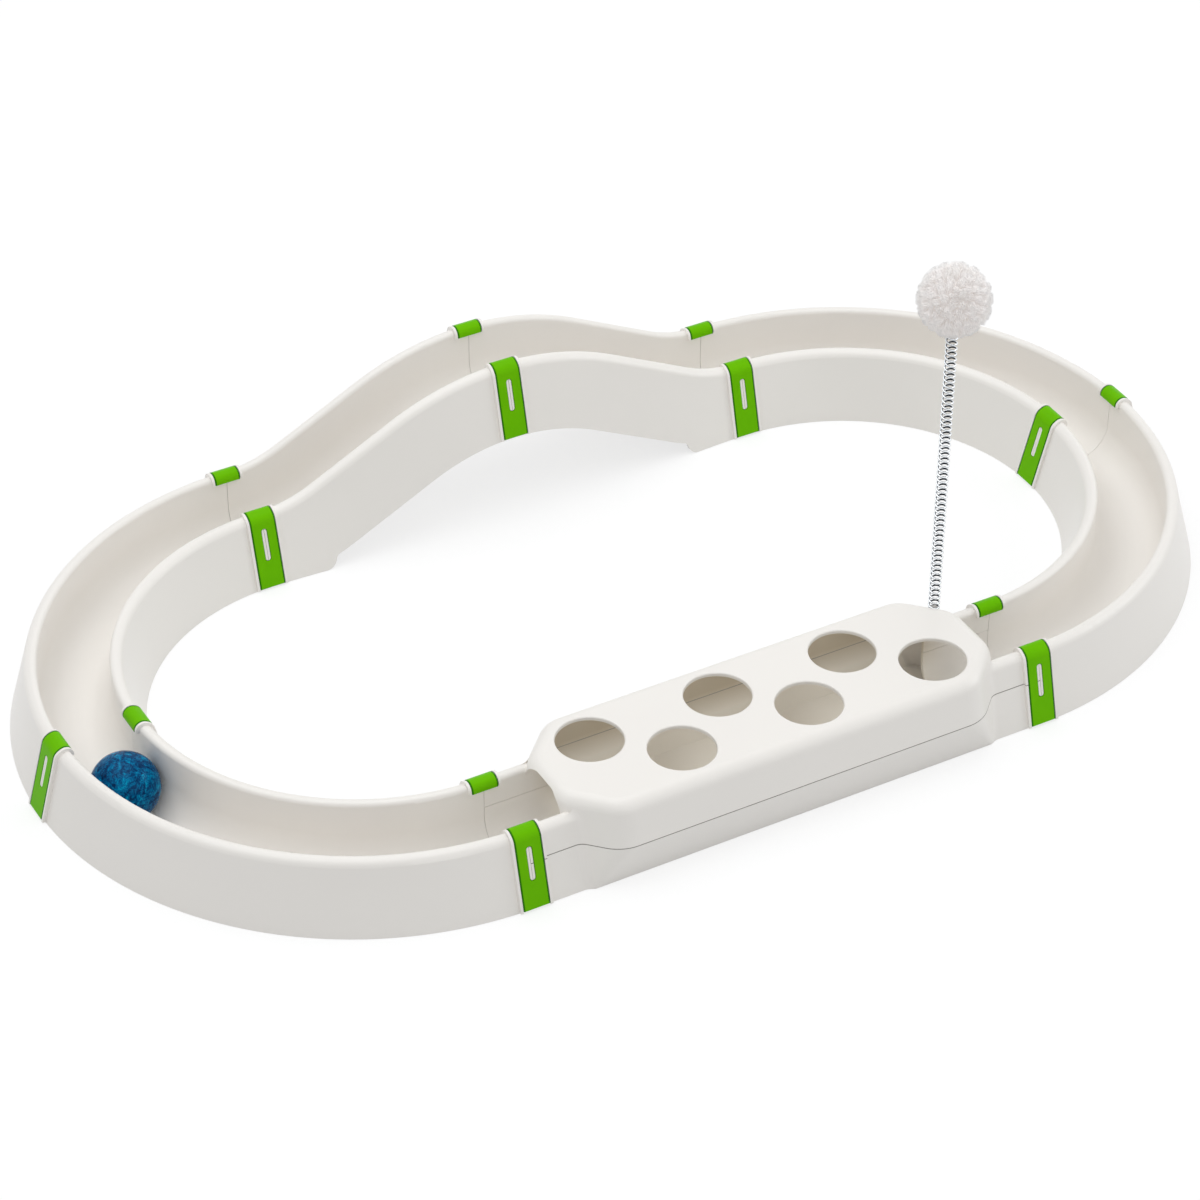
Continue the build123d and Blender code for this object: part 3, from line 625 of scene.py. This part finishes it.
def ball_half(name, turn, material):
    """A moulded half shell of the ball, its seam edge rounded, turned about X to its tilt."""
    radius = BALL_DIAMETER / 2
    edge = BALL_SEAM_ROUND
    outer = arc(radius, 90, math.degrees(2 * edge / radius), BALL_OUTER_POINTS)
    round_angles = np.radians([30, 60, 90])
    corner = [(radius - edge * (1 - math.cos(a)), edge * (1 - math.sin(a))) for a in round_angles]
    inner = arc(radius - BALL_WALL, 0, 90, BALL_INNER_POINTS)
    outline = outer + corner + inner
    around = np.radians(np.arange(0, 360, BALL_TURN_STEP))
    count = len(around)
    points = [(0.0, 0.0, outline[0][1])]
    for reach, height in outline[1:-1]:
        points += [(reach * math.cos(a), reach * math.sin(a), height) for a in around]
    points.append((0.0, 0.0, outline[-1][1]))
    end = len(points) - 1
    last_ring = end - count
    faces = []
    for i in range(count):
        j = (i + 1) % count
        faces.append((0, 1 + i, 1 + j))
        for low in range(1, last_ring, count):
            faces.append((low + i, low + count + i, low + count + j, low + j))
        faces.append((last_ring + i, end, last_ring + j))
    mesh = mesh_from(name, points, faces)
    mesh.transform(Matrix.Translation(BALL_CENTRE) @ Matrix.Rotation(math.radians(turn), 4, "X"))
    mesh.set_sharp_from_angle(angle=math.radians(BALL_SHARP_ANGLE))
    return new_object(name, mesh, material)


def dress(names, material):
    """Gives CAD nodes a material."""
    for name in names:
        slots = frame["nodes"][name].material_slots
        for slot in slots:
            slot.material = material
        if not slots:
            frame["nodes"][name].data.materials.append(material)


def stand_in(piece, body, slot, *nodes):
    """A finished piece that rides on a body in place of CAD nodes."""
    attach(piece, body)
    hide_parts(*nodes)


def background_rays(graph):
    """One for the rays that see the white background: from the camera, a reflection or through glass."""
    path = graph.tree.nodes.new("ShaderNodeLightPath")
    kinds = ("Is Camera Ray", "Is Glossy Ray", "Is Transmission Ray")
    camera, glossy, transmission = (Wire(graph, path.outputs[kind]) for kind in kinds)
    return camera + glossy + transmission


def white_surround():
    """A world that shows as white and lights the track less than it shows."""
    world = bpy.data.worlds.new("studio")
    world.use_nodes = True
    bpy.context.scene.world = world
    sky = Graph(world.node_tree)
    sky.tree.nodes.clear()
    around = sky.node("ShaderNodeBackground", {"Color": opaque(COOL_WHITE), "Strength": AMBIENT})
    white = sky.node("ShaderNodeBackground", {"Color": opaque(PURE_WHITE), "Strength": 1.0})
    mixed = sky.node("ShaderNodeMixShader", {0: background_rays(sky), 1: around, 2: white})
    sky.node("ShaderNodeOutputWorld", {"Surface": mixed})


def white_floor():
    """A floor that shows as white, keeps the shadow under the track and is plain white farther off."""
    paint = bpy.data.materials.new("white_floor")
    paint.use_nodes = True
    ground = Graph(paint.node_tree)
    ground.tree.nodes.clear()
    lit = ground.node("ShaderNodeBsdfDiffuse", {"Color": opaque((FLOOR_BOUNCE,) * 3)})
    shadow = ground.node("ShaderNodeBsdfDiffuse", {"Color": opaque((FLOOR_SHADE,) * 3)})
    glow = ground.node("ShaderNodeEmission", {"Color": opaque(PURE_WHITE), "Strength": FLOOR_GLOW})
    bright = ground.node("ShaderNodeAddShader", {0: shadow, 1: glow})
    plain = ground.node("ShaderNodeEmission", {"Color": opaque(PURE_WHITE), "Strength": 1.0})
    here = ground.node("ShaderNodeTexCoord", output="Object")
    far = ground.span(ground.vector("LENGTH", here, output="Value"), SHADOW_REACH)
    shown = ground.node("ShaderNodeMixShader", {0: far, 1: bright, 2: plain})
    mixed = ground.node("ShaderNodeMixShader", {0: background_rays(ground), 1: lit, 2: shown})
    ground.node("ShaderNodeOutputMaterial", {"Surface": mixed})

    sides = [(-1, -1), (1, -1), (1, 1), (-1, 1)]
    corners = [(x * FLOOR_HALF, y * FLOOR_HALF, FLOOR_HEIGHT) for x, y in sides]
    mesh = bpy.data.meshes.new("floor")
    mesh.from_pydata(corners, [], [(0, 1, 2, 3)])
    new_object("floor", mesh, paint)


def softbox(name, place, size, power):
    """A square light that faces the middle of the track."""
    light = bpy.data.lights.new(name, "AREA")
    light.shape = "SQUARE"
    light.size = size
    light.energy = power
    light.color = COOL_WHITE
    lamp = bpy.data.objects.new(name, light)
    lamp.location = place
    lamp.rotation_mode = "QUATERNION"
    lamp.rotation_quaternion = (-Vector(place)).to_track_quat("-Z", "Y")
    bpy.context.scene.collection.objects.link(lamp)


def photo_camera():
    """The camera at the photograph's place, angle and crop."""
    angles = (CAMERA_AZIMUTH, CAMERA_ELEVATION, CAMERA_ROLL)
    azimuth, elevation, roll = (math.radians(angle) for angle in angles)
    ahead = Vector((
        math.sin(azimuth) * math.cos(elevation),
        math.cos(azimuth) * math.cos(elevation),
        -math.sin(elevation),
    ))
    level = Vector((math.cos(azimuth), -math.sin(azimuth), 0.0))
    above = level.cross(ahead)
    right = level * math.cos(roll) + above * math.sin(roll)
    up = above * math.cos(roll) - level * math.sin(roll)
    data = bpy.data.cameras.new("photo_camera")
    data.sensor_width = CAMERA_SENSOR
    data.lens = CAMERA_LENS
    data.shift_x, data.shift_y = CAMERA_SHIFT
    data.clip_end = CAMERA_REACH
    camera = bpy.data.objects.new("photo_camera", data)
    turn = Matrix((right, up, -ahead)).transposed().to_4x4()
    place = (CAMERA_TARGET - ahead * CAMERA_DISTANCE) * MM + LOOP_MIDDLE
    camera.matrix_world = Matrix.Translation(place) @ turn
    bpy.context.scene.collection.objects.link(camera)
    bpy.context.scene.camera = camera


bpy.context.scene.view_settings.view_transform = "Standard"
for old in [o for o in bpy.context.scene.objects if o.type in ("LIGHT", "CAMERA") or o.name == "Cube"]:
    bpy.data.objects.remove(old)

bodies = frame["record"]["behaviour"]["bodies"]
clips = [node for node in bodies["track"] if node.startswith("clip_")]
tunnel = ["tunnel_tray", "tunnel_cover"]
mouldings = [node for node in bodies["track"] if node not in clips + tunnel]
dress(mouldings + ["spring_foot", "pompom_core"], white_plastic("white_plastic", joint_shadow_lines))
dress(tunnel, white_plastic("seamed_white_plastic", seam_shadow_lines, painted_room_light))
dress(clips, green_plastic())

coil = spring_wire(spring_steel())
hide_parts("spring")
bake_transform(coil)

pile = pompom_pile(white_pile())
stand_in(pile, "teaser", "white_pile", "pompom")

marble = blue_marble()
for node, turn in (("ball_upper_half", BALL_SEAM_TILT), ("ball_lower_half", BALL_SEAM_TILT + 180)):
    half = ball_half(node.replace("_half", "_shell"), turn, marble)
    stand_in(half, "ball", "blue_plastic", node)

white_surround()
white_floor()
for light in SOFTBOXES:
    softbox(*light)
photo_camera()

bpy.context.view_layer.update()
